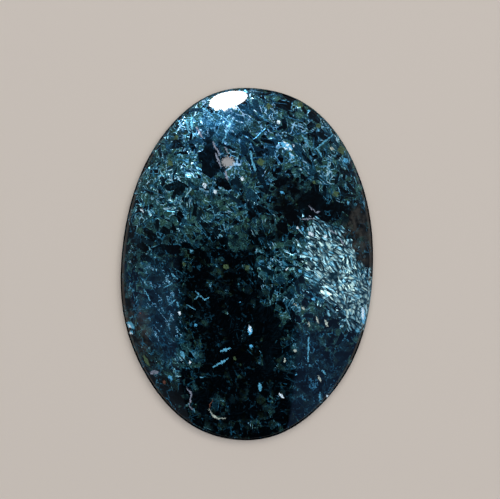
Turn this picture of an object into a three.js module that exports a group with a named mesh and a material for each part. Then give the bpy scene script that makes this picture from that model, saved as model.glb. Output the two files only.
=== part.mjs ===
// A large oval cabochon of dark mica rock, cut and polished from one piece of stone.
// The face is a low dome with a rounded shoulder, the girdle leans out a little towards the
// back, and the back is lapped flat with a narrow bevel, which is what the stone lies on.
// Millimetres, +Z up. The long axis is Y, with the broader end towards -Y. The origin is in
// the middle of the flat back.
import * as THREE from "three";

// Overall size of the oval and of the stone
const LENGTH = 60.0;
const WIDTH = 42.9;
const HEIGHT = 6.8;

// Outline: 2 is a true ellipse, and a little more fills out its quarters
const OUTLINE_POWER = 2.06;
const END_TAPER = 0.011; // share of the width that the -Y end gains and the +Y end loses

// Slow waves that hand grinding left in the outline: how many, how deep and where they start
const GRINDING_WAVES = [
  { lobes: 5, depth: 0.1, start: 1.89 },
  { lobes: 8, depth: 0.055, start: -2.51 },
  { lobes: 4, depth: 0.05, start: -1.21 },
];

// Cross-section
const BACK_BEVEL = 0.6; // height and width of the bevel round the flat back
const ARRIS_HEIGHT = 2.3; // where the leaning girdle meets the dome
const GIRDLE_LEAN = 0.35; // how far the arris stands in from the widest line
const CROWN_RISE = 2.0; // share of the dome's height that is one even arc
const CROWN_POWER = 2;
const SHOULDER_RISE = HEIGHT - ARRIS_HEIGHT - CROWN_RISE;
const SHOULDER_POWER = 6; // higher is a flatter face with a tighter shoulder
const SHOULDER_ROUNDING = 0.8; // nearer 1 meets the girdle at a plainer arris

// Fineness of the faceted solid
const SEGMENTS = 96;
const DOME_RINGS = 20;
const BACK_RINGS = 3;

const HALF_LENGTH = LENGTH / 2;
const HALF_WIDTH = WIDTH / 2;
const MEAN_RADIUS = (HALF_LENGTH + HALF_WIDTH) / 2;

// How far the outline stands out or in at an angle, as a share of its radius
function grindingWave(angle) {
  const depth = GRINDING_WAVES.reduce(
    (sum, wave) => sum + wave.depth * Math.cos(wave.lobes * angle + wave.start),
    0,
  );
  return 1 + depth / MEAN_RADIUS;
}

// The point of the widest line at an angle round the oval
function outlinePoint(angle) {
  const across = Math.cos(angle);
  const along = Math.sin(angle);
  const fullness =
    (Math.abs(across) ** OUTLINE_POWER + Math.abs(along) ** OUTLINE_POWER) **
    (1 / OUTLINE_POWER);
  const taper = 1 - (END_TAPER * along) / fullness;
  const reach = grindingWave(angle) / fullness;
  return new THREE.Vector2(
    HALF_WIDTH * taper * across * reach,
    HALF_LENGTH * along * reach,
  );
}

// Height of the dome at a share of the way from its top to the arris
function domeHeight(share) {
  return (
    ARRIS_HEIGHT +
    CROWN_RISE * (1 - share ** CROWN_POWER) +
    SHOULDER_RISE * (1 - share ** SHOULDER_POWER) ** SHOULDER_ROUNDING
  );
}

// The cross-section from the middle of the back to the top, as shares of the outline and heights
function crossSection() {
  const backShare = 1 - BACK_BEVEL / MEAN_RADIUS;
  const arrisShare = 1 - GIRDLE_LEAN / MEAN_RADIUS;
  const points = [];
  for (let ring = 0; ring <= BACK_RINGS; ring++)
    points.push(new THREE.Vector2((backShare * ring) / BACK_RINGS, 0));
  points.push(new THREE.Vector2(1, BACK_BEVEL));
  for (let ring = 0; ring <= DOME_RINGS; ring++) {
    // the rings crowd together towards the shoulder, where the dome turns down
    const share = Math.cos((Math.PI / 2) * (ring / DOME_RINGS));
    const onAxis = ring === DOME_RINGS;
    points.push(
      new THREE.Vector2(
        onAxis ? 0 : arrisShare * share,
        domeHeight(onAxis ? 0 : share),
      ),
    );
  }
  return points;
}

// The stone: the cross-section turned round once, then drawn out to the oval
function stoneGeometry() {
  const geometry = new THREE.LatheGeometry(crossSection(), SEGMENTS);
  geometry.rotateX(Math.PI / 2);
  const position = geometry.getAttribute("position");
  for (let i = 0; i < position.count; i++) {
    const share = Math.hypot(position.getX(i), position.getY(i));
    const edge = outlinePoint(Math.atan2(position.getY(i), position.getX(i)));
    position.setXY(i, edge.x * share, edge.y * share);
  }
  // the waves shift the oval a little: its middle goes back to the origin, at its full size
  geometry.computeBoundingBox();
  const middle = geometry.boundingBox.getCenter(new THREE.Vector3());
  const size = geometry.boundingBox.getSize(new THREE.Vector3());
  geometry.translate(-middle.x, -middle.y, 0);
  geometry.scale(WIDTH / size.x, LENGTH / size.y, 1);
  geometry.computeVertexNormals();
  return geometry;
}

const darkMicaRock = new THREE.MeshStandardMaterial({
  color: 0x16242b,
  roughness: 0.12,
  metalness: 0.0,
});

const stone = new THREE.Mesh(stoneGeometry(), darkMicaRock);
stone.name = "cabochon";

const specimen = new THREE.Group();
specimen.add(stone);

export default specimen;
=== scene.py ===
"""A large oval cabochon of dark mica rock, laid on its flat back on a plain pale floor."""
import math

import bpy
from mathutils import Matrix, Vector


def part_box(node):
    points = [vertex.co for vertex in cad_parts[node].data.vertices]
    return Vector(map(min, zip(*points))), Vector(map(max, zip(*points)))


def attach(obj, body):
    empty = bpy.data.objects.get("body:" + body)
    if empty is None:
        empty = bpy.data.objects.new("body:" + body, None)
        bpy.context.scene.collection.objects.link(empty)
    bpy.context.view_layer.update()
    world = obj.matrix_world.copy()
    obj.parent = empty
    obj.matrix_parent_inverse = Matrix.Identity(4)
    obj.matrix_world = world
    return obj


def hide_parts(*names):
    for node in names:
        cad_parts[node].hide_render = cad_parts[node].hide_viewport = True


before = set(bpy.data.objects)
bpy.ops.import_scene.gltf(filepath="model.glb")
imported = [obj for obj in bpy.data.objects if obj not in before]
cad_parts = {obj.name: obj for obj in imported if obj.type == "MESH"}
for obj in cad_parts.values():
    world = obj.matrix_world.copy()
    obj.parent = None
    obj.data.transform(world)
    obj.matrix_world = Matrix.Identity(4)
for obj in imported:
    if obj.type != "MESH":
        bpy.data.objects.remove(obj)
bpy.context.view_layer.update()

bl_info = {
    "name": "Muscovite Specimen",
    "version": (1, 0, 0),
    "blender": (4, 5, 0),
    "location": "View3D > Sidebar > Specimen",
    "description": "Makes an oval cabochon of dark mica rock and the studio it is seen in",
    "category": "Add Mesh",
}

MM = 0.001
LOW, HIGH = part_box("cabochon")

# Slow waves that hand grinding left in the outline: how many, how deep in mm and where they start
GRINDING_WAVES = ((5, 0.1, 1.89), (8, 0.055, -2.51), (4, 0.05, -1.21))

# Height and width of the bevel round the flat back, whose top is the widest line
BACK_BEVEL = 0.6 * MM

# Fineness of the skin, and how near two of its points count as one
TURNS = 360
WELD = 0.0002 * MM

FLOAT = "NodeSocketFloat"
VECTOR = "NodeSocketVector"
COLOUR = "NodeSocketColor"
ORIGIN = (0.0, 0.0, 0.0)
HALF = (0.5, 0.5, 0.5)


def tint(code):
    """The linear colour of a six-figure sRGB code."""
    parts = [int(code[at:at + 2], 16) / 255 for at in (0, 2, 4)]
    return tuple(part / 12.92 if part <= 0.04045 else ((part + 0.055) / 1.055) ** 2.4 for part in parts)


# Wiring: node trees are written as plain arithmetic on their sockets

class Wire:
    """One output socket of a node tree, which can be used in plain arithmetic."""

    def __init__(self, tree, socket):
        self.tree = tree
        self.socket = socket

    def __add__(self, other):
        return calc(self.tree, "ADD", self, other)

    def __radd__(self, other):
        return calc(self.tree, "ADD", other, self)

    def __sub__(self, other):
        return calc(self.tree, "SUBTRACT", self, other)

    def __rsub__(self, other):
        return calc(self.tree, "SUBTRACT", other, self)

    def __mul__(self, other):
        return calc(self.tree, "MULTIPLY", self, other)

    def __rmul__(self, other):
        return calc(self.tree, "MULTIPLY", other, self)

    def __truediv__(self, other):
        return calc(self.tree, "DIVIDE", self, other)

    def __rtruediv__(self, other):
        return calc(self.tree, "DIVIDE", other, self)

    def __pow__(self, other):
        return calc(self.tree, "POWER", self, other)

    def __rpow__(self, other):
        return calc(self.tree, "POWER", other, self)

    def __abs__(self):
        return calc(self.tree, "ABSOLUTE", self)


def is_vector(value):
    """Whether a value, or what a wire carries, is three numbers."""
    if isinstance(value, Wire):
        return value.socket.type in ("VECTOR", "RGBA")
    return isinstance(value, tuple)


def calc(tree, operation, *values):
    """One step of arithmetic, on vectors if any of the values is one."""
    vectors = any(is_vector(value) for value in values)
    node = tree.nodes.new("ShaderNodeVectorMath" if vectors else "ShaderNodeMath")
    scaling = operation == "MULTIPLY" and vectors and not all(is_vector(value) for value in values)
    if scaling:
        values = sorted(values, key=is_vector, reverse=True)
    node.operation = "SCALE" if scaling else operation
    for value, socket in zip(values, (socket for socket in node.inputs if socket.enabled)):
        feed(tree, value, socket)
    scalar = vectors and operation in ("LENGTH", "DOT_PRODUCT", "DISTANCE")
    return Wire(tree, node.outputs["Value" if scalar or not vectors else "Vector"])


def feed(tree, value, socket):
    """Links a wire to a socket, or sets the socket to a plain value."""
    if isinstance(value, Wire):
        tree.links.new(value.socket, socket)
    elif socket.type == "RGBA" and len(value) == 3:
        socket.default_value = (*value, 1.0)
    elif socket.type == "VECTOR" and not isinstance(value, (tuple, list)):
        socket.default_value = (value, value, value)
    else:
        socket.default_value = value


class Placed:
    """A node in a tree, whose outputs are wires."""

    def __init__(self, tree, node):
        self.tree = tree
        self.node = node

    def __getitem__(self, name):
        return Wire(self.tree, self.node.outputs[name])


class Bench:
    """Places nodes in one tree."""

    def __init__(self, tree):
        self.tree = tree

    def place(self, kind, inputs=None, **settings):
        """A node of a kind, with its settings made before its sockets are fed."""
        node = self.tree.nodes.new(kind)
        for name, value in settings.items():
            setattr(node, name, value)
        for name, value in (inputs or {}).items():
            feed(self.tree, value, node.inputs[name])
        return Placed(self.tree, node)

    def calc(self, operation, *values):
        return calc(self.tree, operation, *values)

    def clamp(self, value):
        """A value held between 0 and 1."""
        return self.place("ShaderNodeClamp", {"Value": value})["Result"]

    def smooth(self, value, low, high):
        """0 below low and 1 above high, or the other way round, with a soft step between."""
        return self.place(
            "ShaderNodeMapRange", {"Value": value, "From Min": low, "From Max": high},
            interpolation_type="SMOOTHSTEP")["Result"]

    def mix(self, share, first, second):
        """first where share is 0 and second where it is 1, for colours, vectors or numbers."""
        node = self.tree.nodes.new("ShaderNodeMix")
        both = (first, second)
        colours = any(isinstance(value, Wire) and value.socket.type == "RGBA" for value in both)
        if colours or all(isinstance(value, tuple) for value in both):
            node.data_type, sockets, output = "RGBA", (6, 7), 2
        elif any(is_vector(value) for value in both):
            node.data_type, sockets, output = "VECTOR", (4, 5), 1
        else:
            node.data_type, sockets, output = "FLOAT", (2, 3), 0
        feed(self.tree, share, node.inputs[0])
        for value, at in zip(both, sockets):
            feed(self.tree, value, node.inputs[at])
        return Wire(self.tree, node.outputs[output])

    def most(self, *values):
        """The largest of some numbers."""
        largest = values[0]
        for value in values[1:]:
            largest = self.calc("MAXIMUM", largest, value)
        return largest

    def noise(self, vector, scale, detail):
        """Soft noise: its first output is a value, and Color is three more."""
        return self.place("ShaderNodeTexNoise", {"Vector": vector, "Scale": scale, "Detail": detail})

    def cells(self, vector, feature="F1"):
        """Sharp-cornered cells of about unit size."""
        return self.place(
            "ShaderNodeTexVoronoi", {"Vector": vector, "Scale": 1.0},
            voronoi_dimensions="3D", feature=feature)

    def dice(self, vector):
        """Random values that are the same wherever the vector is the same."""
        return self.place("ShaderNodeTexWhiteNoise", {"Vector": vector}, noise_dimensions="3D")

    def rotated(self, vector, angles, back=False):
        """A vector turned by some angles, or turned back by them."""
        return self.place(
            "ShaderNodeVectorRotate", {"Vector": vector, "Rotation": angles},
            rotation_type="EULER_XYZ", invert=back)["Vector"]

    def split(self, vector):
        node = self.place("ShaderNodeSeparateXYZ", {"Vector": vector})
        return node["X"], node["Y"], node["Z"]

    def join(self, x, y, z):
        return self.place("ShaderNodeCombineXYZ", {"X": x, "Y": y, "Z": z})["Vector"]

    def finish(self, results):
        """Feeds the results to the tree's own outputs."""
        node = self.tree.nodes.new("NodeGroupOutput")
        for name, value in results.items():
            feed(self.tree, value, node.inputs[name])


def new_group(name, kind, inputs, outputs):
    """An empty node group with named sockets, as a bench and its given inputs."""
    tree = bpy.data.node_groups.new(name, kind)
    for label, socket, value in inputs:
        item = tree.interface.new_socket(label, in_out="INPUT", socket_type=socket)
        item.default_value = (*value, 1.0) if socket == COLOUR else value
    for label, socket in outputs:
        tree.interface.new_socket(label, in_out="OUTPUT", socket_type=socket)
    bench = Bench(tree)
    return bench, bench.place("NodeGroupInput")


def label_of(name):
    """The label of a socket, from its name in the script."""
    return name.replace("_", " ").title()


# The values that a user would change

def size_setting(name, description, default, **limits):
    """A length in the scene's units."""
    return bpy.props.FloatProperty(
        name=name, description=description, default=default, unit="LENGTH", precision=5, **limits)


def colour_setting(name, description, code):
    """A colour, given by its six-figure sRGB code."""
    return bpy.props.FloatVectorProperty(
        name=name, description=description, subtype="COLOR", size=3, min=0.0, max=1.0, default=tint(code))


class StoneSizes(bpy.types.PropertyGroup):
    """Sizes of the cabochon, in the scene's units."""

    width: size_setting("Width", "Across the oval at its widest line", HIGH[0] - LOW[0])
    length: size_setting("Length", "Along the oval at its widest line", HIGH[1] - LOW[1])
    height: size_setting("Height", "From the flat back to the top of the dome", HIGH[2] - LOW[2])
    outline_power: bpy.props.FloatProperty(
        name="Outline Power", description="2 is a true ellipse, and more fills out its quarters",
        default=2.06, min=1.5, max=4.0)
    end_taper: bpy.props.FloatProperty(
        name="End Taper", description="Share of the width that one end gains and the other loses",
        default=0.011, min=-0.2, max=0.2, precision=3)
    back_bevel: size_setting("Back Bevel", "Height and width of the bevel round the flat back", BACK_BEVEL)
    arris_height: size_setting("Arris Height", "Where the leaning girdle meets the dome", 2.3 * MM)
    girdle_lean: size_setting("Girdle Lean", "How far the arris stands in from the widest line", 0.35 * MM)
    edge_rounding: size_setting("Edge Rounding", "How far the polish has worn back each arris", 0.12 * MM)
    crown_rise: size_setting("Crown Rise", "Share of the dome's height that is one even arc", 2.0 * MM)
    shoulder_power: bpy.props.FloatProperty(
        name="Shoulder Power", description="Higher is a flatter face with a tighter shoulder",
        default=6.0, min=2.0, max=12.0)
    shoulder_rounding: bpy.props.FloatProperty(
        name="Shoulder Rounding", description="Nearer 1 meets the girdle at a plainer arris",
        default=0.8, min=0.4, max=1.0)
    polish_ripple: size_setting(
        "Polish Ripple", "Depth of the faint waves that hand polishing leaves", 0.0025 * MM)


class StoneColours(bpy.types.PropertyGroup):
    """Colours of the minerals."""

    ground: colour_setting("Ground", "The near-black rock between the flakes", "010305")
    steel: colour_setting("Steel Mica", "The darkest flakes", "0E2834")
    teal: colour_setting("Teal Mica", "Flakes of middling brightness", "1E5770")
    cyan: colour_setting("Cyan Mica", "Bright flakes", "5CA7C5")
    pale: colour_setting("Pale Mica", "The brightest flakes and needles", "BCE4F0")
    # painted glints: the white and blue of flakes that catch a lamp, painted into their colour
    silver: colour_setting("Silver Mica", "Flakes that glint white", "DDF4FF")
    sky: colour_setting("Sky Mica", "Flakes that glint blue", "58B0DC")
    # pale colour of the flash patch, partly the painted sheen of its flash
    mint: colour_setting("Mint Mica", "The pale flakes that flash together", "BCD6C8")
    cream: colour_setting("Cream Mica", "Small pale bars and flecks", "B2BEB2")
    mauve: colour_setting("Mauve Vein", "Thin veins and smears of grey-violet", "848C9C")
    olive: colour_setting("Olive Mica", "Green-brown grains between the blue flakes", "475C40")
    rust: colour_setting("Rust Speck", "Small red-brown specks", "6E4638")
    umber: colour_setting("Umber Stain", "Faint brown stains near the rim", "4C4A44")
    grain: colour_setting("Matt Grain", "The pale grain that takes no polish", "9C9C9C")


class StudioSettings(bpy.types.PropertyGroup):
    """The floor and the lights."""

    floor_colour: colour_setting("Floor", "Colour of the plain floor", "CABFB3")
    window_strength: bpy.props.FloatProperty(
        name="Window", description="Radiance of the low window that the rim mirrors",
        default=26.0, min=0.0)
    camera_height: size_setting("Camera Height", "From the floor to the camera", 0.230)
    framed_width: size_setting(
        "Framed Width", "What the picture takes in at the stone's widest line", 0.0852)


# The stone's shape

def oval_point(bench, angle, sizes):
    """The x and y of the widest line at an angle, as shares of half the width and length."""
    across = bench.calc("COSINE", angle)
    along = bench.calc("SINE", angle)
    power = sizes["Outline Power"]
    fullness = (abs(across) ** power + abs(along) ** power) ** (1.0 / power)
    taper = 1.0 - sizes["End Taper"] * along / fullness
    mean_radius = (sizes["Width"] + sizes["Length"]) / (4.0 * MM)
    wave = 1.0
    for lobes, depth, start in GRINDING_WAVES:
        wave = bench.calc("COSINE", angle * float(lobes) + start) * depth / mean_radius + wave
    reach = wave / fullness
    return taper * across * reach, along * reach


def dome_height(bench, share, sizes):
    """Height of the dome at a share of the way from its top to the arris."""
    arris = sizes["Arris Height"]
    crown = sizes["Crown Rise"]
    shoulder = sizes["Height"] - arris - crown
    fall = bench.most(1.0 - share ** sizes["Shoulder Power"], 0.0)
    return arris + crown * (1.0 - share * share) + shoulder * fall ** sizes["Shoulder Rounding"]


def profile_strip(bench, sizes, rows, profile):
    """One strip of the stone's skin, turned round the oval; profile gives share and height along it."""
    grid = bench.place("GeometryNodeMeshGrid", {
        "Size X": 1.0, "Size Y": 1.0, "Vertices X": TURNS + 1, "Vertices Y": rows + 1})
    x, y, _ = bench.split(bench.place("GeometryNodeInputPosition")["Position"])
    share, height = profile(y + 0.5)
    across, along = oval_point(bench, (x + 0.5) * math.tau, sizes)
    spot = bench.join(
        across * share * sizes["Width"] * 0.5, along * share * sizes["Length"] * 0.5, height)
    return bench.place("GeometryNodeSetPosition", {"Geometry": grid["Mesh"], "Position": spot})["Geometry"]


def between(start, end, share):
    """The point at a share of the way between two points of the profile."""
    return tuple(a + (b - a) * share for a, b in zip(start, end))


def straight(start, end):
    """The line between two points of the profile."""
    return lambda way: between(start, end, way)


def rounded(start, corner, end):
    """A soft corner between two points of the profile."""
    def profile(way):
        back = 1.0 - way
        return tuple(
            back * back * a + back * way * 2.0 * b + way * way * c
            for a, b, c in zip(start, corner, end))
    return profile


def stone_profile(bench, sizes):
    """The strips from the middle of the back to the top: rows, and share and height along them."""
    mean_radius = (sizes["Width"] + sizes["Length"]) * 0.25
    rounding = sizes["Edge Rounding"]
    centre = (0.0, 0.0)
    foot = (1.0 - sizes["Back Bevel"] / mean_radius, 0.0)
    widest = (1.0, sizes["Back Bevel"])
    arris = (1.0 - sizes["Girdle Lean"] / mean_radius, sizes["Arris Height"])
    back_edge = (foot[0] - rounding / mean_radius, 0.0)
    bevel_share = rounding / sizes["Back Bevel"]
    girdle_share = rounding / (sizes["Arris Height"] - sizes["Back Bevel"])
    bevel_foot = between(foot, widest, bevel_share)
    bevel_top = between(widest, foot, bevel_share)
    girdle_foot = between(widest, arris, girdle_share)
    girdle_top = between(arris, widest, girdle_share)

    # the dome starts where the rounding of the arris ends, and its rows crowd towards the shoulder
    dome_edge = 1.0 - rounding / mean_radius
    dome_start = (arris[0] * dome_edge, dome_height(bench, dome_edge, sizes))
    first_turn = 0.1

    def dome(way):
        turn = (way * (1.0 - first_turn) + first_turn) * (math.pi / 2)
        share = dome_edge * bench.calc("COSINE", turn) / math.cos(first_turn * math.pi / 2)
        return arris[0] * share, dome_height(bench, share, sizes)

    return (
        (24, straight(centre, back_edge)),
        (4, rounded(back_edge, foot, bevel_foot)),
        (4, straight(bevel_foot, bevel_top)),
        (4, rounded(bevel_top, widest, girdle_foot)),
        (10, straight(girdle_foot, girdle_top)),
        (5, rounded(girdle_top, arris, dome_start)),
        (155, dome),
    )


def cabochon_tree(materials):
    """The Geometry Nodes tree that turns the stone's profile round its oval."""
    bench, sizes = new_group(
        "Cabochon", "GeometryNodeTree",
        [(label_of(setting), FLOAT, 0.0) for setting in StoneSizes.__annotations__],
        [("Geometry", "NodeSocketGeometry")])
    join = bench.place("GeometryNodeJoinGeometry")
    for rows, profile in stone_profile(bench, sizes):
        feed(bench.tree, profile_strip(bench, sizes, rows, profile), join.node.inputs["Geometry"])
    whole = bench.place("GeometryNodeMergeByDistance", {"Geometry": join["Geometry"], "Distance": WELD})

    # the waves shift the oval a little: its middle goes back to the origin, at its full size
    box = bench.place("GeometryNodeBoundBox", {"Geometry": whole["Geometry"]})
    place = bench.place("GeometryNodeInputPosition")["Position"]
    middle = (box["Max"] + box["Min"]) * (0.5, 0.5, 0.0)
    full = bench.join(sizes["Width"], sizes["Length"], sizes["Height"])
    fitted = bench.place("GeometryNodeSetPosition", {
        "Geometry": whole["Geometry"],
        "Position": (place - middle) * full / (box["Max"] - box["Min"])})["Geometry"]

    # faint waves of the polish, which only ever go inwards and leave the back flat
    place = bench.place("GeometryNodeInputPosition")["Position"]
    normal = bench.place("GeometryNodeInputNormal")["Normal"]
    _, _, height = bench.split(place)
    ripple = bench.noise(place / MM, 0.55, 1.0)[0]
    rippled = bench.place("GeometryNodeSetPosition", {
        "Geometry": fitted, "Selection": bench.calc("GREATER_THAN", height, 0.01 * MM),
        "Offset": normal * (ripple * sizes["Polish Ripple"] * -2.0)})["Geometry"]

    smooth = bench.place("GeometryNodeSetShadeSmooth", {"Geometry": rippled})["Geometry"]
    geometry = bench.place("GeometryNodeRealizeInstances", {"Geometry": smooth})["Geometry"]
    polished, ground, lapped = materials
    girdle = bench.calc("LESS_THAN", height, sizes["Arris Height"] + sizes["Edge Rounding"] * 1.5)
    back = bench.calc("LESS_THAN", height, 0.002 * MM)
    for material, selection in ((polished, True), (ground, girdle), (lapped, back)):
        geometry = bench.place("GeometryNodeSetMaterial", {
            "Geometry": geometry, "Material": material, "Selection": selection})["Geometry"]
    bench.finish({"Geometry": geometry})
    return bench.tree


# Node groups for the rock, all in mm

LIE_INPUTS = (("Lie", VECTOR, ORIGIN), ("Spread", VECTOR, (math.tau, math.tau, math.tau)))


def own_turn(given, chance):
    """A crystal's own turn: the rock's lie, and a share of the spread round each axis."""
    return given["Lie"] + (chance - HALF) * given["Spread"]


def mica_blades_group():
    """Single blades scattered through the rock, one to a cell, as the surface cuts them."""
    bench, given = new_group(
        "Mica Blades", "ShaderNodeTree",
        [("Vector", VECTOR, ORIGIN), ("Cell Size", FLOAT, 1.0), ("Half Size", VECTOR, (0.9, 0.1, 0.3)),
         *LIE_INPUTS, ("Density", FLOAT, 0.5), ("Edge", FLOAT, 0.05)],
        [("Mask", FLOAT), ("Rim", FLOAT), ("Chance", FLOAT), ("Facing", VECTOR)])
    spot = given["Vector"] / given["Cell Size"]
    cell = bench.cells(spot)
    dice = bench.dice(cell["Color"])
    turn = own_turn(given, cell["Color"])
    x, y, z = bench.split(abs(bench.rotated(spot - cell["Position"], turn, back=True)) / given["Half Size"])
    # a blade narrows towards its ends
    room = 1.0 - bench.most(x, z, y + x * x * 0.7)
    _, half_thickness, _ = bench.split(given["Half Size"] * given["Cell Size"])
    depth = room * half_thickness
    here, _, _ = bench.split(dice["Color"])
    mask = bench.clamp(depth / given["Edge"] + 0.5) * bench.calc("LESS_THAN", here, given["Density"])
    bench.finish({"Mask": mask, "Rim": bench.smooth(depth, 0.1, 0.03), "Chance": dice["Value"],
                  "Facing": bench.rotated((0.0, 1.0, 0.0), turn)})
    return bench.tree


def blade_sheaves_group():
    """Interlocking sheaves, each filled with long crystals that run its own way."""
    bench, given = new_group(
        "Blade Sheaves", "ShaderNodeTree",
        [("Vector", VECTOR, ORIGIN), ("Sheaf Size", FLOAT, 2.0), ("Blade", VECTOR, (1.0, 0.2, 0.5)),
         *LIE_INPUTS],
        [("Chance", FLOAT), ("Hue", FLOAT), ("Core", FLOAT), ("Seam", FLOAT), ("Sheaf", FLOAT),
         ("Home", VECTOR), ("Facing", VECTOR)])
    sheaf = bench.cells(given["Vector"] / given["Sheaf Size"])
    turn = own_turn(given, sheaf["Color"])
    local = bench.rotated(given["Vector"], turn, back=True) / given["Blade"] + sheaf["Color"] * 40.0
    blade = bench.cells(local)
    border = bench.cells(local, "DISTANCE_TO_EDGE")
    chance, hue, _ = bench.split(blade["Color"])
    _, thickness, _ = bench.split(given["Blade"])
    facing = bench.rotated((0.0, 1.0, 0.0), turn) + (blade["Color"] - HALF) * 1.2
    bench.finish({
        "Chance": chance, "Hue": hue, "Core": bench.smooth(blade["Distance"], 0.75, 0.2),
        "Seam": border["Distance"] * thickness, "Sheaf": bench.dice(sheaf["Color"])["Value"],
        "Home": sheaf["Position"] * given["Sheaf Size"], "Facing": bench.calc("NORMALIZE", facing)})
    return bench.tree


def crystal_mosaic_group():
    """Sharp-cornered crystals side by side, each with its own fine sheets."""
    bench, given = new_group(
        "Crystal Mosaic", "ShaderNodeTree",
        [("Vector", VECTOR, ORIGIN), ("Cell Size", FLOAT, 1.0), ("Sheets", VECTOR, (6.0, 0.5, 0.5)),
         *LIE_INPUTS],
        [("Chance", FLOAT), ("Hue", FLOAT), ("Seam", FLOAT), ("Home", VECTOR), ("Sheet", FLOAT)])
    spot = given["Vector"] / given["Cell Size"]
    cell = bench.cells(spot)
    border = bench.cells(spot, "DISTANCE_TO_EDGE")
    dice = bench.dice(cell["Color"])
    hue, _, _ = bench.split(dice["Color"])
    turn = own_turn(given, cell["Color"])
    sheet = bench.noise(bench.rotated(given["Vector"], turn, back=True) * given["Sheets"], 1.0, 2.0)
    bench.finish({
        "Chance": dice["Value"], "Hue": hue, "Seam": border["Distance"] * given["Cell Size"],
        "Home": cell["Position"] * given["Cell Size"], "Sheet": sheet[0]})
    return bench.tree


def soft_patch_group():
    """1 inside an ellipse seen from above and 0 outside it, with a soft edge."""
    bench, given = new_group(
        "Soft Patch", "ShaderNodeTree",
        [("Vector", VECTOR, ORIGIN), ("Centre", VECTOR, ORIGIN), ("Half Size", VECTOR, (1.0, 1.0, 1.0)),
         ("Turn", FLOAT, 0.0), ("Feather", FLOAT, 0.3)],
        [("Mask", FLOAT)])
    x, y, _ = bench.split(given["Vector"])
    middle_x, middle_y, _ = bench.split(given["Centre"])
    half_x, half_y, _ = bench.split(given["Half Size"])
    cosine, sine = bench.calc("COSINE", given["Turn"]), bench.calc("SINE", given["Turn"])
    x, y = x - middle_x, y - middle_y
    along = (x * cosine + y * sine) / half_x
    across = (y * cosine - x * sine) / half_y
    reach = bench.calc("SQRT", along * along + across * across)
    bench.finish({"Mask": bench.smooth(reach, given["Feather"] + 1.0, 1.0 - given["Feather"])})
    return bench.tree


def stroke_group():
    """1 along a short line seen from above, which narrows towards its ends."""
    bench, given = new_group(
        "Stroke", "ShaderNodeTree",
        [("Vector", VECTOR, ORIGIN), ("Start", VECTOR, ORIGIN), ("End", VECTOR, (1.0, 0.0, 0.0)),
         ("Half Width", FLOAT, 0.1)],
        [("Mask", FLOAT)])
    x, y, _ = bench.split(given["Vector"])
    start_x, start_y, _ = bench.split(given["Start"])
    end_x, end_y, _ = bench.split(given["End"])
    run_x, run_y = end_x - start_x, end_y - start_y
    x, y = x - start_x, y - start_y
    way = bench.clamp((x * run_x + y * run_y) / (run_x * run_x + run_y * run_y))
    x, y = x - run_x * way, y - run_y * way
    away = bench.calc("SQRT", x * x + y * y)
    off_middle = way - 0.5
    half_width = given["Half Width"] * (1.2 - off_middle * off_middle * 2.4)
    bench.finish({"Mask": bench.smooth(away, half_width + 0.05, half_width - 0.05)})
    return bench.tree


# The tones of the flakes from the darkest to the brightest, and those of single marks
STONE_TONES = ("Ground", "Steel", "Teal", "Cyan", "Pale")
# mint is partly the painted sheen of the flash
# silver and sky are painted glints
MARK_TONES = ("Silver", "Sky", "Mint", "Cream", "Mauve", "Olive", "Rust", "Umber", "Grain")

# How a green flake and a bluer one differ from the tones, in red, green and blue
PLAIN = (1.0, 1.0, 1.0)
GREENER = (2.2, 0.95, 0.35)
BLUER = (0.97, 0.97, 1.18)


def mica_tones_group():
    """Colour of a flake from its brightness, through the stone's own tones."""
    bench, given = new_group(
        "Mica Tones", "ShaderNodeTree",
        [("Brightness", FLOAT, 0.5), ("Green", FLOAT, 0.0), ("Azure", FLOAT, 0.0)]
        + [(tone, COLOUR, ORIGIN) for tone in STONE_TONES],
        [("Color", COLOUR)])
    colour = given["Ground"]
    for step, tone in enumerate(STONE_TONES[1:]):
        share = bench.clamp(given["Brightness"] * 4.0 - float(step))
        colour = bench.mix(share, colour, given[tone])
    # only the darker flakes are green
    green = given["Green"] * bench.smooth(given["Brightness"], 0.85, 0.45)
    change = bench.mix(green, bench.mix(given["Azure"], PLAIN, BLUER), GREENER)
    bench.finish({"Color": colour * change})
    return bench.tree


# How soft the edges of the zones are
ZONE_FEATHER = 0.45

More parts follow.
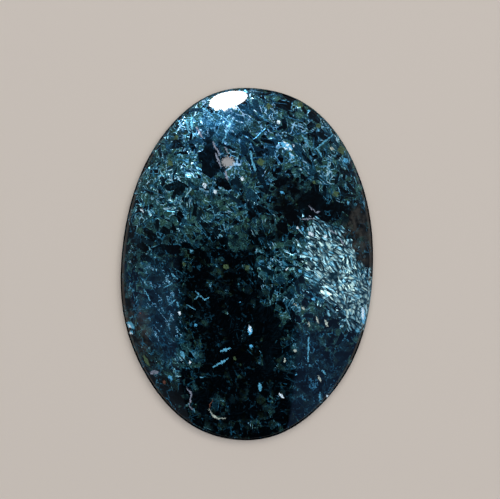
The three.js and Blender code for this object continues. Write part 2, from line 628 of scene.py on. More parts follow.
# Where the rock is lighter or darker than usual, partly in its own right and partly as painted light and
# shade: a painted glow round and under the rim highlight, the flash and the rock beside it brightened, and
# a lighter top with a darker middle and foot that partly follow how the light falls. Centre, half size,
# turn in degrees, and how much
ROCK_AND_PAINTED_LIGHT_ZONES = (
    # painted glow round the rim highlight and under it
    ("round the rim highlight", (-4.5, 27.0), (6.5, 4.5), 15, 1.1),
    ("under the rim highlight", (-6.0, 21.0), (9.0, 8.0), 20, 0.9),
    ("upper left", (-14.0, 14.0), (7.0, 8.0), 0, 0.6),
    ("upper right", (11.0, 20.0), (11.0, 8.0), -40, 0.9),
    ("upper right edge", (14.5, 19.0), (8.0, 4.0), -55, 0.4),
    ("upper middle, dark", (8.5, 11.0), (5.0, 4.0), -15, -0.6),
    ("middle", (0.0, 13.0), (5.0, 6.0), 0, 0.4),
    ("left, foliated", (-9.0, 9.0), (11.0, 5.0), -25, 0.5),
    ("left edge", (-17.5, 4.5), (3.5, 6.0), 0, 0.5),
    # the flash and the rock beside it brightened, partly as painted flash
    ("beside the flash", (8.0, -1.5), (6.5, 7.0), -40, 0.8),
    ("flash", (15.5, 0.0), (9.5, 5.5), -58, 0.3),
    ("dark heart", (-3.0, -7.0), (8.0, 11.0), 0, -0.55),
    ("dark foot", (0.0, -21.0), (10.0, 8.0), 0, -0.4),
    ("foot, left cluster", (-9.2, -15.5), (3.0, 3.5), 0, 0.7),
    ("foot, right", (8.0, -15.0), (3.0, 5.0), 0, 0.3),
    ("lower left", (-15.0, -8.0), (4.5, 9.0), 0, 0.3),
    ("lower right", (12.0, -17.0), (6.0, 8.0), 20, -0.2),
    ("right, dull", (18.0, 9.0), (4.0, 8.0), 0, -0.4),
)

# Where painted haze lies over the rock, with wisps in it: a painted glow below the rim highlight, and a
# painted reflection of the room's light to the left and lower right
PAINTED_HAZE_ZONES = (
    ("below the rim highlight", (-5.0, 22.8), (4.0, 3.6), 0, 1.0),
    ("left", (-13.5, -8.0), (3.0, 8.0), 8, 1.1),
    ("lower right", (12.5, -19.0), (4.5, 8.0), 30, 0.8),
)

# Brown stains near the rim
STAINS = (
    ("right", (18.4, 6.5), (1.6, 4.6), 12, 0.4),
    ("lower left", (-17.6, -10.5), (1.6, 5.5), 14, 0.3),
)

# The way that most blades run, and how far they spread from it round each axis
LIE = (0.0, 0.0, math.radians(-52))
SPREAD = (math.tau, math.radians(40), math.radians(110))

# Sheaves side by side: a seed, the size of a sheaf, and a blade's length, thickness and depth
MEDIUM_FELT = (1, 3.0, (2.8, 0.3, 0.9))
FINE_FELT = (2, 2.4, (2.8, 0.11, 0.5))
LARGE_CRYSTALS = (4, 4.0, (3.0, 1.3, 2.0))
FLASH_FLAKES = (5, 1.5, (1.2, 0.2, 0.5))

# Mosaics of crystals: a seed and the size of a crystal
SMALL_CRYSTALS = (3, 0.6)
MIDDLING_CRYSTALS = (2, 1.25)

# Loose blades: a seed, the size of the cell that each has to itself, its half size as shares of the
# cell and the share of the cells that hold one; then how bright they are and how few are bright
LATHS = (8, 2.0, (0.9, 0.14, 0.4), 0.5)
BROAD_BLADES = (2, 2.4, (0.9, 0.13, 0.4), 0.35, 0.55, 1.0)
SHORT_BLADES = (3, 1.1, (0.9, 0.07, 0.4), 0.4, 1.1, 1.0)
THIN_BLADES = (5, 1.7, (0.9, 0.04, 0.4), 0.5, 1.1, 1.0)
NEEDLES = (12, 3.2, (0.9, 0.016, 0.5), 0.7, 0.8, 0.6)
SPARKLES = (7, 0.9, (0.35, 0.14, 0.2), 0.12, 1.2, 1.3)

# The patch of flakes that flash together, painted pale partly as sheen of the flash, the way they run and
# the direction they face
FLASH = {"centre": (15.9, -1.3), "half": (9.4, 4.2), "turn": -58, "feather": 0.6}
FLASH_LIE = (0.0, 0.0, math.radians(-38))
FLASH_SPREAD = (math.tau, math.radians(30), math.radians(40))
FLASH_FACING = (-0.82, 1.24, 0.2)

# Where the flakes are bluer than elsewhere
AZURE = {"centre": (-2.0, 22.0), "half": (12.0, 9.0), "turn": 0, "feather": 0.6}

# The star-shaped pale grain
MATT_GRAIN = {"centre": (-3.9, 16.9), "half": (0.95, 0.85), "turn": 0, "feather": 0.12}

# Black crystals: half width, and the two ends of the line along their middle
BLACK_CRYSTALS = (
    (1.4, (-7.6, 19.2), (-6.2, 15.0)),
    (1.9, (9.8, 12.2), (10.8, 9.4)),
    (0.9, (7.6, 8.6), (10.9, 8.6)),
    (0.8, (14.7, 10.9), (15.0, 9.4)),
    (0.7, (12.7, 15.3), (12.7, 14.7)),
    (0.6, (14.9, 17.2), (14.9, 16.3)),
    (0.7, (9.2, 24.3), (9.4, 22.8)),
    (0.6, (-12.8, 19.7), (-12.7, 18.8)),
    (0.8, (-13.2, 12.4), (-10.7, 12.4)),
    (1.6, (-6.6, -21.3), (-6.5, -24.6)),
    (0.9, (16.4, -14.2), (16.5, -15.4)),
    (1.3, (4.4, -13.2), (4.6, -18.2)),
    (0.8, (2.1, -6.6), (2.5, -10.8)),
    (0.9, (4.1, -7.4), (4.7, -12.4)),
)

# Flecks, needles and veins that stand out on the face, and painted glints: half width, and where each
# starts and ends
MARKS = {
    "Mauve": (
        (0.12, (-6.6, 20.2), (-5.3, 18.0)),
        (0.14, (-6.0, 18.2), (-5.0, 16.0)),
        (0.08, (-4.5, 19.4), (-3.8, 18.2)),
        (0.14, (-9.4, 22.6), (-8.4, 20.8)),
        (0.15, (-4.3, 15.4), (-3.9, 13.9)),
        (0.08, (9.9, 10.2), (11.1, 9.1)),
        (0.08, (11.1, 9.1), (11.8, 9.3)),
        (0.06, (8.6, 7.9), (11.0, 8.1)),
        (0.08, (10.1, 8.5), (10.3, 8.3)),
        (0.12, (-9.1, -21.1), (-8.3, -22.1)),
        (0.10, (-8.3, -22.1), (-8.7, -24.2)),
        (0.08, (-8.7, -24.2), (-8.0, -24.8)),
        (0.08, (15.2, 5.1), (16.2, 3.8)),
        (0.08, (13.4, 6.3), (14.8, 5.7)),
        (0.25, (-15.5, -19.0), (-14.2, -18.7)),
    ),
    "Olive": (
        (0.25, (-16.7, -16.2), (-15.8, -17.7)),
        (0.50, (2.5, 26.9), (2.5, 26.5)),
        (0.50, (14.2, 12.7), (14.4, 12.2)),
        (0.25, (10.4, 14.2), (10.7, 14.1)),
        (0.60, (15.0, 20.3), (15.2, 19.6)),
        (0.50, (7.6, 27.4), (8.0, 27.2)),
        (0.55, (1.5, 17.5), (1.6, 16.8)),
        (0.40, (10.9, 24.0), (11.1, 23.6)),
        (0.40, (-13.0, 20.9), (-12.7, 20.7)),
        (0.35, (-13.8, 16.7), (-13.3, 16.1)),
        (0.25, (-1.5, -15.6), (-1.3, -15.8)),
        (0.35, (-3.8, -0.4), (-3.1, -0.6)),
        (0.40, (0.0, -0.4), (0.2, -0.6)),
        (0.20, (-10.5, -0.2), (-10.3, -0.7)),
    ),
    "Rust": (
        (0.13, (-17.6, -8.9), (-17.4, -9.0)),
        (0.20, (-13.1, -20.2), (-12.9, -20.7)),
        (0.06, (-4.8, -22.8), (-5.3, -24.2)),
    ),
    "Cyan": (
        (0.12, (-10.5, 24.7), (-10.0, 21.3)),
        (0.15, (-11.3, 23.8), (-10.7, 21.8)),
        (0.40, (-19.7, -10.8), (-18.7, -11.4)),
        (0.25, (-19.1, -12.5), (-18.8, -12.2)),
        (0.13, (-0.2, 18.9), (0.1, 17.2)),
        (0.15, (0.1, 17.2), (0.7, 15.6)),
        (0.25, (-10.4, -14.9), (-9.8, -15.9)),
        (0.15, (-3.7, -14.6), (-2.1, -14.0)),
        (0.15, (-4.9, -17.3), (-2.5, -15.8)),
        (0.25, (3.0, -19.8), (3.1, -20.8)),
        (0.20, (16.4, 11.3), (16.5, 10.8)),
        (0.15, (-12.5, 17.8), (-11.7, 17.8)),
        (0.08, (-3.6, 24.0), (-5.0, 20.0)),
        (0.07, (8.2, 22.2), (9.8, 19.9)),
        (0.08, (10.4, 19.6), (13.5, 22.4)),
        (0.12, (10.8, 19.9), (11.8, 18.5)),
        (0.09, (10.8, -11.6), (10.9, -15.8)),
        (0.07, (-13.6, -4.5), (-12.3, -3.6)),
        (0.13, (-12.4, -2.1), (-11.5, -2.9)),
        (0.09, (-12.7, -7.3), (-11.7, -6.4)),
        (0.09, (-11.4, -6.7), (-11.1, -7.4)),
        (0.07, (-17.0, -4.9), (-15.9, -6.8)),
        (0.07, (-8.3, -4.9), (-6.6, -6.2)),
        (0.07, (-8.4, -6.1), (-7.6, -5.4)),
        (0.06, (-6.7, -6.2), (-6.1, -5.7)),
        (0.07, (-9.7, -7.2), (-8.3, -7.8)),
        (0.08, (13.3, -17.1), (14.0, -17.8)),
        (0.10, (13.2, -21.1), (13.3, -22.5)),
    ),
    "Cream": (
        (0.12, (10.7, -9.1), (10.8, -9.9)),
        (0.10, (11.9, -8.2), (12.3, -9.2)),
        (0.15, (13.4, -8.7), (13.9, -9.7)),
        (0.20, (9.4, -6.7), (9.8, -7.0)),
        (0.12, (8.2, -6.2), (8.6, -6.5)),
        (0.12, (12.8, -18.2), (13.2, -19.0)),
        (0.15, (-4.6, -25.5), (-3.7, -26.1)),
        (0.08, (-3.7, -26.1), (-2.4, -25.9)),
        (0.07, (-5.3, -24.5), (-4.6, -25.7)),
        (0.15, (7.0, -15.3), (7.0, -15.9)),
        (0.20, (8.4, -13.9), (8.8, -14.0)),
        (0.25, (13.2, 20.1), (13.6, 20.0)),
    ),
    # painted blue glints on flakes
    "Sky": (
        (0.50, (5.2, 20.4), (6.4, 19.6)),
        (0.25, (6.3, 18.9), (7.0, 18.0)),
        (0.20, (8.7, -0.5), (9.0, -0.9)),
        (0.15, (8.9, 6.6), (9.1, 6.0)),
        (0.25, (11.2, -5.1), (11.4, -5.4)),
        (0.35, (-12.1, -19.4), (-11.9, -19.7)),
        (0.20, (-8.2, -10.6), (-7.9, -10.4)),
        (0.20, (1.1, -13.5), (1.5, -13.5)),
        (0.35, (15.7, 18.4), (16.1, 18.0)),
        (0.12, (9.0, -17.9), (9.1, -18.1)),
        (0.20, (5.1, 12.3), (5.6, 12.1)),
        (0.10, (-0.9, -6.3), (-0.8, -6.3)),
        (0.30, (19.8, -6.5), (20.1, -9.0)),
        (0.28, (0.9, -10.3), (1.0, -11.5)),
    ),
    # painted white glints on flakes
    "Silver": (
        (0.12, (5.2, 20.7), (5.7, 20.5)),
        (0.15, (5.7, 20.1), (6.1, 20.3)),
        (0.12, (5.4, 19.7), (5.8, 19.6)),
        (0.12, (6.2, 19.7), (6.5, 19.3)),
        (0.10, (6.8, 20.3), (7.0, 20.0)),
        (0.10, (6.6, 18.7), (6.9, 18.3)),
        # painted fringe along the lower edge of the rim highlight
        (0.30, (-7.4, 26.6), (-6.4, 26.2)),
        (0.25, (-6.0, 26.1), (-6.4, 25.7)),
        (0.35, (-5.2, 25.9), (-4.6, 25.8)),
        (0.20, (-3.5, 26.2), (-2.9, 26.1)),
        (0.12, (-19.6, -11.0), (-19.0, -11.6)),
        (0.10, (-19.3, -12.4), (-18.9, -12.6)),
        (0.10, (-18.2, 8.5), (-17.7, 7.9)),
        (0.20, (-11.0, -8.4), (-10.8, -8.7)),
        (0.18, (0.9, -10.2), (1.0, -11.0)),
        (0.18, (19.8, -6.5), (20.0, -8.4)),
        (0.15, (-8.8, -16.5), (-8.8, -17.0)),
        (0.20, (6.4, -21.4), (7.0, -21.9)),
        (0.22, (-1.6, 14.5), (-1.2, 14.1)),
        (0.25, (-7.7, 13.2), (-7.5, 12.6)),
        (0.22, (-5.9, 12.1), (-5.7, 11.5)),
        (0.20, (12.9, 5.4), (12.9, 5.1)),
        (0.25, (10.1, 5.8), (10.7, 5.3)),
        (0.12, (8.0, 6.6), (8.2, 6.3)),
        (0.12, (6.5, -0.5), (6.8, -0.3)),
        (0.25, (4.1, 24.2), (4.3, 23.9)),
        (0.15, (14.4, -21.5), (14.6, -21.8)),
    ),
}


class Rock:
    """The rock as it is built up: how bright, how green and which way each crystal faces."""

    def __init__(self, bench, given, groups):
        self.bench = bench
        self.given = given
        self.groups = groups
        self.spot = given["Vector"]
        slow = bench.noise(self.spot, 0.35, 1.0)
        fast = bench.noise(self.spot, 1.9, 2.0)
        fine = bench.noise(self.spot, 5.0, 2.0)
        self.patchy = fast[0]
        self.gritty = fine[0]
        slow_shift = slow["Color"] - HALF
        fast_shift = fast["Color"] - HALF
        fine_shift = fine["Color"] - HALF
        # blades are a little bent, placed marks torn, a grain's edge frayed and patches very ragged
        self.bent = self.spot + slow_shift * 0.6 + fast_shift * 0.08
        self.torn = self.spot + fast_shift * 0.5 + fine_shift * 0.5
        self.frayed = self.spot + fast_shift * 0.8 + fine_shift * 1.8
        self.ragged = self.spot + slow_shift * 5.0 + fast_shift * 2.5
        self.clouds = bench.noise(self.spot + (31.0, 7.0, 3.0), 0.6, 4.0)[0]
        # the zones carry painted light and shade as well as the rock's own lighter and darker places
        self.zone = self.zones(ROCK_AND_PAINTED_LIGHT_ZONES) + given["Gain"] + (slow[0] - 0.5) * 2.0
        # where painted haze lies over the rock
        self.cloudy = self.zones(PAINTED_HAZE_ZONES)
        self.normal = bench.place("ShaderNodeNewGeometry")["Normal"]
        self.facing = self.normal
        self.level = 0.0
        self.green = 0.0
        self.bare = 1.0
        # fewer of the crystals are bright where the rock is dark
        self.power = 2.0 ** (self.zone * -1.4 + 1.0)
        # seams are bright where the clouds are thin, and broken up in the dark places
        whole = bench.smooth(self.patchy + self.zone * 0.15, 0.4, 0.5)
        whole = whole * bench.smooth(self.clouds, 0.54, 0.44)
        self.seam_level = bench.clamp(self.zone * 0.28 + 0.4) * whole
        # in the dark places the felt keeps to clumps
        clumps = bench.noise(self.torn + (3.0, 8.0, 5.0), 0.42, 2.0)[0]
        self.clumps = bench.smooth(clumps + self.zone * 0.16, 0.41, 0.5)

    def group(self, name, **inputs):
        named = {label_of(label): value for label, value in inputs.items()}
        return self.bench.place("ShaderNodeGroup", named, node_tree=self.groups[name])

    def patch(self, vector, centre, half, turn, feather):
        """1 inside an ellipse, turned by some degrees, with a soft edge."""
        return self.group("patch", vector=vector, centre=(*centre, 0.0), half_size=(*half, 1.0),
                          turn=math.radians(turn), feather=feather)["Mask"]

    def zones(self, places):
        """The sum of some soft patches."""
        total = 0.0
        for _, centre, half, turn, amount in places:
            total = self.patch(self.ragged, centre, half, turn, ZONE_FEATHER) * amount + total
        return total

    def strokes(self, vector, places):
        """1 on any of some strokes."""
        total = 0.0
        for half_width, start, end in places:
            mask = self.group("stroke", vector=vector, start=(*start, 0.0), end=(*end, 0.0),
                              half_width=half_width)["Mask"]
            total = self.bench.most(mask, total)
        return total

    def cover(self, mask, level, green=0.0, facing=None):
        """Lays new crystals over what is there."""
        self.level = self.bench.mix(mask, self.level, level)
        self.green = self.bench.mix(mask, self.green, green)
        if facing is not None:
            self.facing = self.bench.mix(mask, self.facing, facing)

    def brighten(self, level):
        """Raises the brightness to a level where it is lower."""
        self.level = self.bench.most(self.level, level)

    def tone(self, level, green, azure):
        """The colour of flakes of some brightness."""
        return self.group("tones", brightness=level, green=green, azure=azure,
                          **{tone: self.given[tone] for tone in STONE_TONES})["Color"]

    def room(self, shift):
        """Where the next generation grows: each bends a little round the crystals before it."""
        return self.bent + shift + calc(self.bench.tree, "MULTIPLY", (0.05, 0.03, 0.04), self.level)

    def sheaves(self, seed, sheaf_size, blade, lie=LIE, spread=SPREAD):
        """One generation of sheaves, and the middle of the sheaf that each point is in."""
        shift = (seed * 13.1, seed * 7.9, seed * -11.3)
        grown = self.group("sheaves", vector=self.room(shift), sheaf_size=sheaf_size, blade=blade,
                           lie=lie, spread=spread)
        return grown, grown["Home"] - shift

    def mosaic(self, seed, cell_size):
        """One generation of crystals, and the middle of the crystal that each point is in."""
        shift = (seed * 5.3, seed * -17.9, seed * 9.7)
        grown = self.group("mosaic", vector=self.room(shift), cell_size=cell_size, lie=LIE, spread=SPREAD)
        return grown, grown["Home"] - shift

    def scattered(self, seed, cell_size, half_size, density):
        """Single blades, one to a cell."""
        shift = (seed * 17.3, seed * -9.1, seed * 5.7)
        return self.group("blades", vector=self.room(shift), cell_size=cell_size, half_size=half_size,
                          density=density, lie=LIE, spread=SPREAD)

    def blades(self, seed, cell_size, half_size, density, bright, sharpness):
        """Lays one generation of loose blades; a higher sharpness leaves fewer of them bright."""
        flakes = self.scattered(seed, cell_size, half_size, density)
        level = flakes["Chance"] ** (self.power * sharpness) * bright * (self.clumps * 0.8 + 0.2)
        mask = flakes["Mask"] * self.bare * self.bench.smooth(level, 0.02, 0.1)
        self.cover(mask, level, 0.0, flakes["Facing"])

    def laths(self, where):
        """Lays black blades with a thin bright rim."""
        flakes = self.scattered(*LATHS)
        level = flakes["Rim"] * self.seam_level * flakes["Chance"] + 0.03
        self.cover(flakes["Mask"] * where, level, 0.0, flakes["Facing"])


def grow_felt(rock):
    """Soft clouded ground, lifted where painted haze lies, green moss in it, and felts of blades of two
    sizes that grow through it.
    """
    bench = rock.bench
    # the ground is lifted where painted haze lies
    ground = (rock.clouds - 0.5) * 0.5 + rock.zone * 0.17 + rock.cloudy * 0.1 + 0.05
    rock.level = bench.clamp(ground)
    medium, _ = rock.sheaves(*MEDIUM_FELT)
    fine, _ = rock.sheaves(*FINE_FELT)
    fine_here = bench.smooth(rock.clouds, 0.47, 0.53)
    for felt, bright, where in ((medium, 0.85, 1.0), (fine, 1.15, fine_here)):
        level = felt["Chance"] ** rock.power * (felt["Core"] * 0.6 + 0.4) * rock.clumps * bright
        green = bench.smooth(felt["Hue"], 0.45, 0.75) * 0.9
        rock.cover(where, bench.most(level, ground), green, felt["Facing"])
    moss = bench.noise(rock.torn + (9.0, 4.0, 2.0), 0.6, 2.0)[0]
    here = bench.smooth(moss, 0.46, 0.56) * bench.smooth(rock.zone, -0.6, 0.2)
    level = (rock.gritty - 0.5) * 0.35 + (rock.clouds - 0.5) * 0.7 + 0.34
    rock.cover(here * 0.8, level, 0.6, rock.normal)


def grow_crystals(rock):
    """Sharp-cornered crystals that the felt has grown round: black ones, olive ones and steel plates."""
    bench = rock.bench
    small, _ = rock.mosaic(*SMALL_CRYSTALS)
    rock.cover(bench.calc("LESS_THAN", small["Chance"], 0.18 - rock.zone * 0.08), 0.0)
    middling, home = rock.mosaic(*MIDDLING_CRYSTALS)
    sheet = middling["Sheet"]
    sheen = bench.smooth(sheet, 0.5, 0.85) * 0.1

    olive = bench.calc("GREATER_THAN", middling["Hue"], 0.77) * bench.smooth(middling["Seam"], 0.0, 0.2)
    olive = olive * bench.smooth(rock.zone, -1.0, 0.5)
    level = middling["Chance"] * 0.3 + (sheet - 0.5) * 0.9 + 0.22
    rock.cover(olive * 0.75, level, middling["Chance"] * 0.5 + 0.5, rock.normal)
    dark = bench.calc("LESS_THAN", middling["Chance"], 0.24 - rock.zone * 0.2)
    rock.cover(dark, sheen, 0.0, rock.normal)
    rock.brighten(bench.smooth(middling["Seam"], 0.09, 0.02) * rock.seam_level)

    large, _ = rock.sheaves(*LARGE_CRYSTALS)
    plate = bench.calc("GREATER_THAN", large["Chance"], 0.94) * bench.smooth(rock.zone, -0.3, 0.3)
    rock.cover(plate * 0.8, sheet * 0.3 + 0.15, 0.0, large["Facing"])
    dark = bench.calc("LESS_THAN", large["Chance"], 0.28 - rock.zone * 0.25)
    rock.cover(dark, sheen, 0.0, rock.normal)
    rock.brighten(bench.smooth(large["Seam"], 0.1, 0.02) * rock.seam_level * 1.2)

    # a black crystal is made of whole smaller ones, so its outline has corners
    black = rock.strokes(home, BLACK_CRYSTALS)
    rock.cover(black * 0.95, bench.smooth(sheet, 0.45, 0.8) * 0.08, 0.0, rock.normal)
    rock.bare = 1.0 - black * 0.85


def grow_blades(rock):
    """Loose blades over the rest, painted haze with wisps in it, and a few bright sparkles."""
    bench = rock.bench
    rock.laths(bench.smooth(rock.zone, 0.0, 0.4))
    rock.blades(*BROAD_BLADES)
    rock.blades(*SHORT_BLADES)
    rock.blades(*THIN_BLADES)
    # painted haze: a smooth lighter cover that stands in for the room mirrored in the polish, and for the
    # glow below the rim highlight
    painted_haze_level = (rock.clouds - 0.5) * 0.9 + rock.zone * 0.2 + 0.13
    rock.cover(bench.clamp(rock.cloudy) * 0.55, painted_haze_level, 0.0, rock.normal)
    rock.blades(*NEEDLES)
    rock.blades(*SPARKLES)
    wisp = bench.rotated(rock.spot * 0.7 + rock.ragged * 0.3, LIE, back=True) * (0.35, 1.2, 1.2)
    wisp = bench.smooth(abs(bench.noise(wisp, 1.0, 3.0)[0] - 0.5), 0.05, 0.0)
    here = bench.clamp(rock.cloudy + rock.zone * 0.3) * bench.smooth(rock.clouds, 0.45, 0.55)
    rock.brighten(wisp * here * 0.9)
    rock.level = rock.level * (rock.gritty * 1.7 + 0.12)


def flash_together(rock, colour):
    """The patch of flakes that flash together, each of them whole, with dark gaps between their strokes;
    their pale colour is partly painted sheen, while their facing lets them flash under the window too.
    """
    bench, given = rock.bench, rock.given
    flakes, home = rock.sheaves(*FLASH_FLAKES, FLASH_LIE, FLASH_SPREAD)
    here = rock.patch(home, **FLASH) * 1.3 - flakes["Sheaf"] * 0.5 - flakes["Hue"] * 0.5
    here = bench.smooth(here, 0.0, 0.05) * given["Placed Marks"]
    level = bench.smooth(flakes["Chance"] + flakes["Core"] * 0.5 + flakes["Sheaf"] * 0.3, 0.45, 1.75)
    # the pale mint paints part of the flash as sheen in the flakes' colour
    flake = bench.mix(flakes["Hue"] * level, rock.tone(level * 0.7 + 0.25, 0.0, 0.0), given["Mint"])
    rock.cover(here, level * 0.22, 0.0, flakes["Facing"] * 0.5 + FLASH_FACING)
    return bench.mix(here, colour, flake)


def mica_fabric_group(groups):
    """The rock itself: felt, black crystals with bright seams, loose blades, painted haze, the flash and
    the marks.
    """
    bench, given = new_group(
        "Mica Fabric", "ShaderNodeTree",
        [("Vector", VECTOR, ORIGIN), ("Gain", FLOAT, 0.0), ("Tilt", FLOAT, 0.6),
         ("Placed Marks", FLOAT, 1.0)]
        + [(tone, COLOUR, ORIGIN) for tone in STONE_TONES + MARK_TONES],
        [("Color", COLOUR), ("Metallic", FLOAT), ("Roughness", FLOAT), ("Polish", FLOAT),
         ("Normal", VECTOR)])
    rock = Rock(bench, given, groups)
    grow_felt(rock)
    grow_crystals(rock)
    grow_blades(rock)
    # bluer in the azure patch, and bluer still in the painted haze
    azure = bench.clamp(rock.patch(rock.ragged, **AZURE) + rock.cloudy * 0.35)
    colour = rock.tone(rock.level, rock.green, azure)
    colour = flash_together(rock, colour)
    stain = rock.zones(STAINS) * bench.smooth(rock.clouds, 0.35, 0.6)
    colour = bench.mix(stain, colour, given["Umber"] * (rock.patchy * 2.0))
    whole = bench.smooth(rock.gritty, 0.3, 0.45) * given["Placed Marks"]
    # the marks, with painted glints and a painted fringe of the rim highlight among them
    for tone, places in MARKS.items():
        mask = rock.strokes(rock.torn, places) * whole
        colour = bench.mix(mask, colour, given[tone] * (rock.gritty * 1.2 + 0.4))
    grain = rock.patch(rock.frayed, **MATT_GRAIN) * given["Placed Marks"]
    colour = bench.mix(grain, colour, given["Grain"])

    # the brighter flakes mirror more, and each leans the surface the way it faces
    metal = bench.clamp(rock.level * 0.5) * (1.0 - grain)
    lean = rock.facing - rock.normal * bench.calc("DOT_PRODUCT", rock.facing, rock.normal)
    normal = bench.calc("NORMALIZE", rock.normal + lean * given["Tilt"])
    bench.finish({"Color": colour, "Metallic": metal, "Roughness": 0.45 - metal * 0.1 + grain * 0.4,
                  "Polish": 1.0 - grain, "Normal": normal})
    return bench.tree


# Each finish of the rock: how much brighter its flakes are, how far they tilt, whether the placed
# marks show, the weight and roughness of the gloss over them, and the shine apart from that gloss
FINISHES = {
    "Polished mica rock": {
        "gain": 0.0, "tilt": 0.6, "marks": 1.0, "gloss": 1.0, "gloss_roughness": 0.04, "shine": 0.0},
    "Ground girdle": {
        "gain": -0.5, "tilt": 0.3, "marks": 1.0, "gloss": 0.0, "gloss_roughness": 0.0, "shine": 0.0},
    "Lapped back": {
        "gain": -0.2, "tilt": 0.3, "marks": 0.0, "gloss": 0.15, "gloss_roughness": 0.5, "shine": 0.3},
}


def stone_material(name, fabric, colours, gain, tilt, marks, gloss, gloss_roughness, shine):
    """A finish of the rock: the same flakes under a polished, ground or lapped skin."""
    material = bpy.data.materials.new(name)
    material.use_nodes = True
    material.node_tree.nodes.clear()
    bench = Bench(material.node_tree)
    place = bench.place("ShaderNodeTexCoord")["Object"] / MM
    tones = {tone: tuple(getattr(colours, tone.lower())) for tone in STONE_TONES + MARK_TONES}
    rock = bench.place(
        "ShaderNodeGroup",
        {"Vector": place, "Gain": gain, "Tilt": tilt, "Placed Marks": marks, **tones}, node_tree=fabric)
    shader = bench.place("ShaderNodeBsdfPrincipled", {
        "Base Color": rock["Color"], "Metallic": rock["Metallic"], "Roughness": rock["Roughness"],
        "Normal": rock["Normal"], "Coat Weight": rock["Polish"] * gloss if gloss else 0.0,
        "Coat Roughness": gloss_roughness, "Specular IOR Level": shine})
    bench.place("ShaderNodeOutputMaterial", {"Surface": shader["BSDF"]})
    return material


# The studio, in metres, with lights as linear radiance

FLOOR_REACH = 2.0
ROOM_LIGHT = (0.12, 0.15, 0.19)
DIM_LIGHT = (0.03, 0.035, 0.045)
BLUE_LIGHT = (0.09, 0.17, 0.36)
DARKNESS = (0.004, 0.004, 0.005)
BACKDROP = (0.6, 0.55, 0.5)

# The low window and the light overhead; the window's place is given from the stone
WINDOW_BEARING = math.radians(104)
WINDOW_LIFT = math.radians(21)
WINDOW_DISTANCE = 0.9
WINDOW_SIZE = (0.36, 0.64)
CEILING_PLACE = (0.1, 0.2, 1.1)
CEILING_SIZE = (1.2, 1.2)
CEILING_RADIANCE = 3.4

# The point of the stone in the middle of the picture, and how far its long axis leans there
CAMERA_AIM = (0.391 * MM, 2.509 * MM)
CAMERA_TURN = math.radians(2.5)


def make_floor(context, settings):
    """A plain matt floor that reaches out of the picture."""
    mesh = bpy.data.meshes.new("floor")
    corners = [(x * FLOOR_REACH, y * FLOOR_REACH, 0.0) for x, y in ((-1, -1), (1, -1), (1, 1), (-1, 1))]
    mesh.from_pydata(corners, [], [(0, 1, 2, 3)])
    floor = bpy.data.objects.new("floor", mesh)
    context.scene.collection.objects.link(floor)
    material = bpy.data.materials.new("Pale floor")
    material.use_nodes = True
    shader = material.node_tree.nodes["Principled BSDF"]
    shader.inputs["Base Color"].default_value = (*settings.floor_colour, 1.0)
    shader.inputs["Roughness"].default_value = 0.8
    shader.inputs["Specular IOR Level"].default_value = 0.2
    mesh.materials.append(material)


def make_world(context):
    """A dim soft room, bluer on one side and dark straight above the stone."""
    world = bpy.data.worlds.new("Soft studio")
    context.scene.world = world
    world.use_nodes = True
    world.node_tree.nodes.clear()
    bench = Bench(world.node_tree)
    x, y, z = bench.split(bench.place("ShaderNodeTexCoord")["Generated"])
    # how far a direction leans from straight up, towards +X and towards +Y
    height = bench.most(z, 0.02)
    over_x = x / height
    over_y = y / height
    room = bench.mix(bench.smooth(z, 0.95, 0.2), DIM_LIGHT, ROOM_LIGHT)
    cool = bench.smooth(over_y, 0.04, -0.1)
    far_left = bench.smooth(over_x, 0.0, -0.1) * bench.smooth(over_y, -0.4, -0.75)
    room = bench.mix(cool * (1.0 - far_left), room, BLUE_LIGHT)
    # the dark place is a band that widens towards -Y
    spreading = bench.most((over_y + 0.12) * -0.5, 0.0)
    inside = bench.smooth(over_x + spreading, -0.34, -0.29)
    inside = inside * bench.smooth(over_x - spreading, 0.23, 0.17)
    inside = inside * bench.smooth(over_y, 0.09, 0.02)
    colour = bench.mix(inside, room, DARKNESS)
    seen = bench.place("ShaderNodeLightPath")["Is Camera Ray"]
    colour = bench.mix(seen, colour, BACKDROP)
    background = bench.place("ShaderNodeBackground", {"Color": colour, "Strength": 1.0})
    bench.place("ShaderNodeOutputWorld", {"Surface": background["Background"]})


def area_light(context, name, shape, size, radiance, place):
    """A light of even radiance that faces the stone."""
    width, height = size
    data = bpy.data.lights.new(name, "AREA")
    data.shape = shape
    data.size = width
    data.size_y = height
    data.energy = radiance * math.pi * width * height
    light = bpy.data.objects.new(name, data)
    context.scene.collection.objects.link(light)
    light.location = place
    x, y, z = place
    light.rotation_euler = (math.atan2(math.hypot(x, y), z), 0.0, math.atan2(y, x) + math.pi / 2)
    return light


def make_window(context, settings):
    """The low window whose reflection is the white patch on the rim, and a broad overhead light."""
    level = WINDOW_DISTANCE * math.cos(WINDOW_LIFT)
    place = (level * math.cos(WINDOW_BEARING), level * math.sin(WINDOW_BEARING),
             WINDOW_DISTANCE * math.sin(WINDOW_LIFT))
    window = area_light(context, "Window", "ELLIPSE", WINDOW_SIZE, settings.window_strength, place)
    window.visible_diffuse = False
    ceiling = area_light(context, "Ceiling", "RECTANGLE", CEILING_SIZE, CEILING_RADIANCE, CEILING_PLACE)
    ceiling.visible_glossy = False


def make_camera(context, settings):
    """A camera straight above, which takes in the framed width at the stone's widest line."""
    data = bpy.data.cameras.new("Camera")
    camera = bpy.data.objects.new("Camera", data)
    context.scene.collection.objects.link(camera)
    data.sensor_width = 36.0
    data.lens = data.sensor_width * (settings.camera_height - BACK_BEVEL) / settings.framed_width
    data.clip_start = 0.01
    camera.location = (*CAMERA_AIM, settings.camera_height)
    camera.rotation_euler = (0.0, 0.0, CAMERA_TURN)
    context.scene.camera = camera


# Operators and the panel

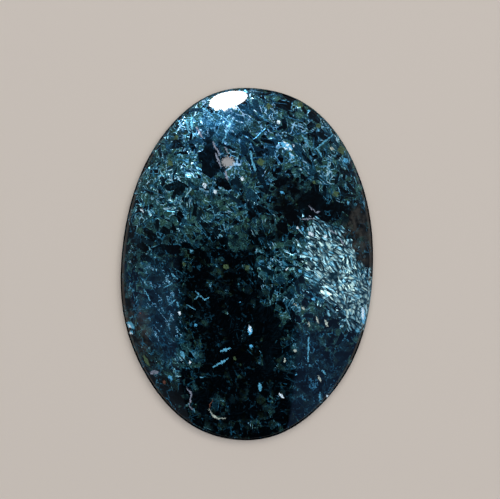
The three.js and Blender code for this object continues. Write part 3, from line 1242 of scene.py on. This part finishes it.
class SPECIMEN_OT_cabochon(bpy.types.Operator):
    """Make the polished oval stone."""
    bl_idname = "specimen.cabochon"
    bl_label = "Make Cabochon"

    def execute(self, context):
        sizes = context.scene.stone_sizes
        colours = context.scene.stone_colours
        fabric = mica_fabric_group({
            "blades": mica_blades_group(), "sheaves": blade_sheaves_group(),
            "mosaic": crystal_mosaic_group(), "patch": soft_patch_group(), "stroke": stroke_group(),
            "tones": mica_tones_group()})
        tree = cabochon_tree([
            stone_material(name, fabric, colours, **finish) for name, finish in FINISHES.items()])
        rough = bpy.data.objects.new("rough", bpy.data.meshes.new("rough"))
        context.scene.collection.objects.link(rough)
        modifier = rough.modifiers.new("Cabochon", "NODES")
        modifier.node_group = tree
        sockets = {item.name: item.identifier for item in tree.interface.items_tree}
        for setting in StoneSizes.__annotations__:
            modifier[sockets[label_of(setting)]] = getattr(sizes, setting)
        depsgraph = context.evaluated_depsgraph_get()
        mesh = bpy.data.meshes.new_from_object(rough.evaluated_get(depsgraph))
        bpy.data.objects.remove(rough)
        mesh.name = "polished_stone"
        stone = bpy.data.objects.new("polished_stone", mesh)
        context.scene.collection.objects.link(stone)
        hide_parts("cabochon")
        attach(stone, "root")
        return {"FINISHED"}


class SPECIMEN_OT_studio(bpy.types.Operator):
    """Make the pale floor, the lights and the camera."""
    bl_idname = "specimen.studio"
    bl_label = "Make Studio"

    def execute(self, context):
        settings = context.scene.studio_settings
        make_floor(context, settings)
        make_world(context)
        make_window(context, settings)
        make_camera(context, settings)
        context.scene.view_settings.view_transform = "Standard"
        return {"FINISHED"}


class SPECIMEN_PT_panel(bpy.types.Panel):
    """Sizes, colours and the steps that make the specimen."""
    bl_idname = "SPECIMEN_PT_panel"
    bl_label = "Muscovite Specimen"
    bl_space_type = "VIEW_3D"
    bl_region_type = "UI"
    bl_category = "Specimen"

    def draw(self, context):
        layout = self.layout
        for name in SETTINGS:
            box = layout.box()
            group = getattr(context.scene, name)
            for setting in group.__annotations__:
                box.prop(group, setting)
        for operator in OPERATORS:
            layout.operator(operator.bl_idname)


OPERATORS = (SPECIMEN_OT_studio, SPECIMEN_OT_cabochon)
SETTINGS = {"stone_sizes": StoneSizes, "stone_colours": StoneColours, "studio_settings": StudioSettings}
CLASSES = (*SETTINGS.values(), *OPERATORS, SPECIMEN_PT_panel)


def register():
    for cls in CLASSES:
        bpy.utils.register_class(cls)
    for name, cls in SETTINGS.items():
        setattr(bpy.types.Scene, name, bpy.props.PointerProperty(type=cls))


def unregister():
    for name in SETTINGS:
        delattr(bpy.types.Scene, name)
    for cls in reversed(CLASSES):
        bpy.utils.unregister_class(cls)


def main():
    register()
    bpy.ops.specimen.studio()
    bpy.ops.specimen.cabochon()


if __name__ == "__main__":
    main()
